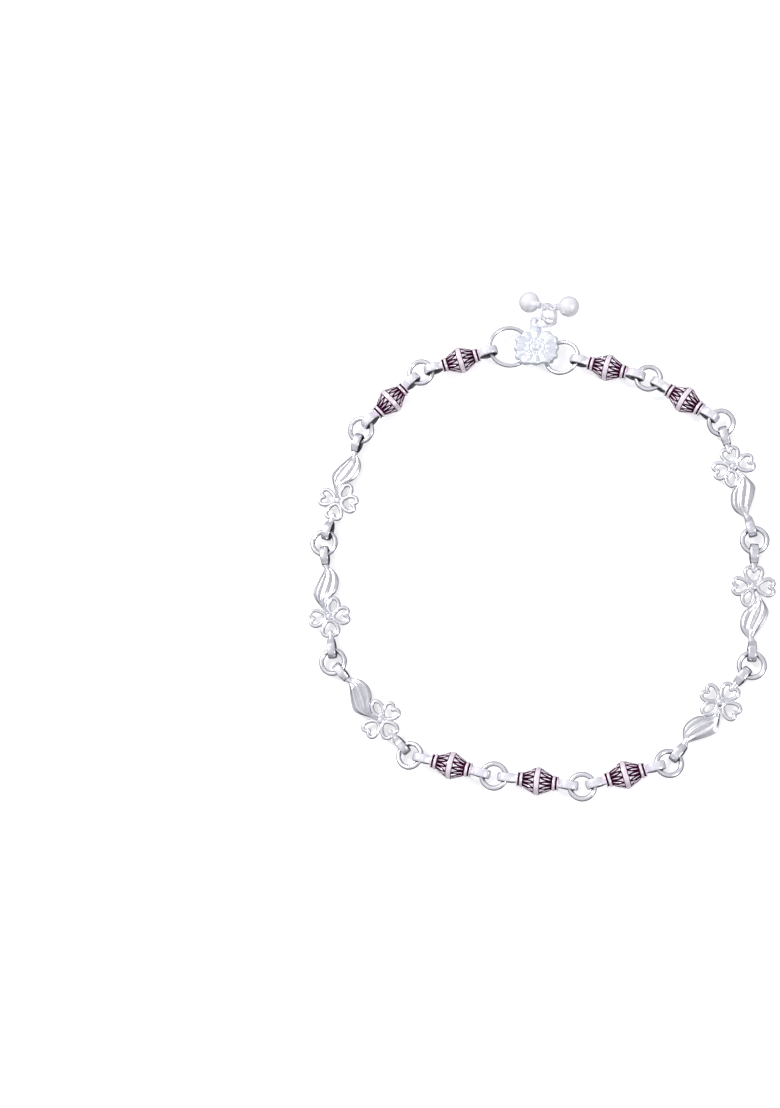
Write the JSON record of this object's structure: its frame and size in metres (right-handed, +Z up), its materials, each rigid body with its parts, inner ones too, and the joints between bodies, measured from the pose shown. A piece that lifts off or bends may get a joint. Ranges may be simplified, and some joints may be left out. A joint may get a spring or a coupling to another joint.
{
  "type": "payal anklet",
  "caption": "Silver anklet of enamelled double-cone beads and flower-and-leaf links on wire rings, with a hook clasp plate and ball drops, lying flat.",
  "frame": {"origin": "middle of the anklet's box at the surface it lies on", "axes": "+Z up off the surface, +Y from the far side of the loop towards the clasp and its drops, +X to the right as the anklet lies"},
  "size_m": [0.087, 0.0978, 0.0051],
  "materials": {
    "silver": "polished silver",
    "enamelled_silver": "polished silver with maroon enamel in its recesses"
  },
  "bodies": {
    "root": {"bead_01": "enamelled_silver", "bead_02": "enamelled_silver", "bead_03": "enamelled_silver", "bead_04": "enamelled_silver", "bead_05": "enamelled_silver", "bead_06": "enamelled_silver", "bead_07": "enamelled_silver", "flower_leaf_01": "silver", "flower_leaf_02": "silver", "flower_leaf_03": "silver", "flower_leaf_04": "silver", "flower_leaf_05": "silver", "flower_leaf_06": "silver", "link_ring_01": "silver", "link_ring_02": "silver", "link_ring_03": "silver", "link_ring_04": "silver", "link_ring_05": "silver", "link_ring_06": "silver", "link_ring_07": "silver", "link_ring_08": "silver", "link_ring_09": "silver", "link_ring_10": "silver", "link_ring_11": "silver", "link_ring_12": "silver", "clasp_ring_right": "silver", "clasp_ring_left": "silver", "clasp_plate": "silver", "charm_ring_upper": "silver", "charm_ring_lower": "silver", "ball_drop_left": "silver", "ball_drop_right": "silver"}
  },
  "joints": []
}
